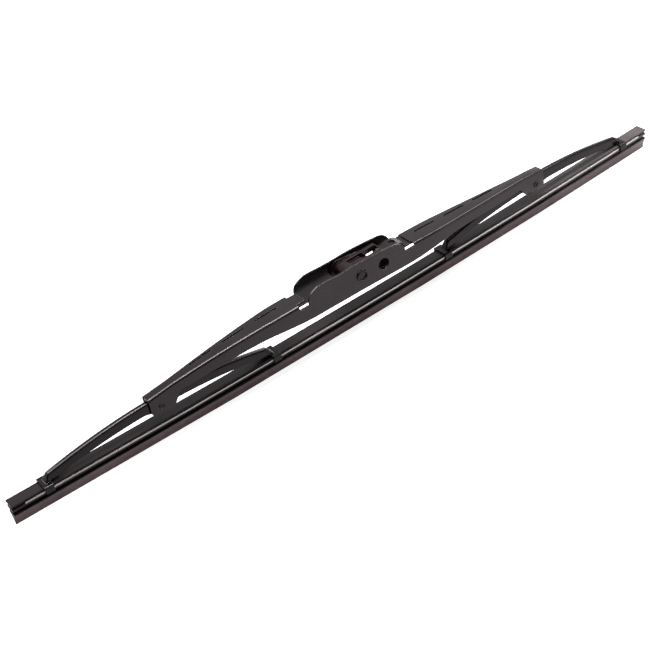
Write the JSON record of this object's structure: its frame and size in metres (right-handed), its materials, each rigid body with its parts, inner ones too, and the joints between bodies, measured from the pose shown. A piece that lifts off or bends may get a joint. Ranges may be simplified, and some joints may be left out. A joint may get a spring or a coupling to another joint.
{
  "type": "wiper blade",
  "caption": "Pressed-steel windscreen wiper blade: a channel bridge with rocking yokes whose claws hold a bowed rubber squeegee, and a hook adapter for the wiper arm.",
  "frame": {"origin": "middle of the wiping lip, where the bowed rubber first meets flat glass", "axes": "+X along the blade towards the end on the side-pin bore's side, +Z away from the glass, +Y across the blade to the far side of the picture"},
  "size_m": [0.4, 0.0152, 0.0393],
  "materials": {
    "bridge_paint": "satin black paint",
    "yoke_paint": "satin black paint",
    "pin_metal": "painted steel pin",
    "rivet_metal": "painted steel rivet",
    "adapter_plastic": "moulded black plastic, slightly glossy",
    "liner_nylon": "natural nylon",
    "wiper_rubber": "black rubber with a bloomed sheen",
    "strip_steel": "bright spring steel"
  },
  "bodies": {
    "bridge": {"main_bridge": "bridge_paint", "centre_pin": "pin_metal", "pivot_rivet_left": "rivet_metal", "pivot_rivet_right": "rivet_metal", "pivot_liner_left": "liner_nylon", "pivot_liner_right": "liner_nylon", "wiping_rubber": "wiper_rubber", "steel_strip_front": "strip_steel", "steel_strip_rear": "strip_steel"},
    "left_yoke": {"yoke_left": "yoke_paint"},
    "right_yoke": {"yoke_right": "yoke_paint"},
    "adapter": {"hook_adapter": "adapter_plastic"}
  },
  "joints": [
    {"name": "left_yoke_rock", "type": "hinge", "parent": "bridge", "child": "left_yoke", "pos_m": [-0.118, 0, 0.022], "axis": [0, 1, 0], "range_deg": [-6, 6], "stiffness_Nm_per_rad": 2.3, "deforming": ["wiping_rubber", "steel_strip_front", "steel_strip_rear"]},
    {"name": "right_yoke_rock", "type": "hinge", "parent": "bridge", "child": "right_yoke", "pos_m": [0.118, 0, 0.022], "axis": [0, 1, 0], "range_deg": [-6, 6], "stiffness_Nm_per_rad": 2.3, "deforming": ["wiping_rubber", "steel_strip_front", "steel_strip_rear"]},
    {"name": "adapter_swing", "type": "hinge", "parent": "bridge", "child": "adapter", "pos_m": [0, 0, 0.0312], "axis": [0, -1, 0], "range_deg": [-10, 55]}
  ]
}
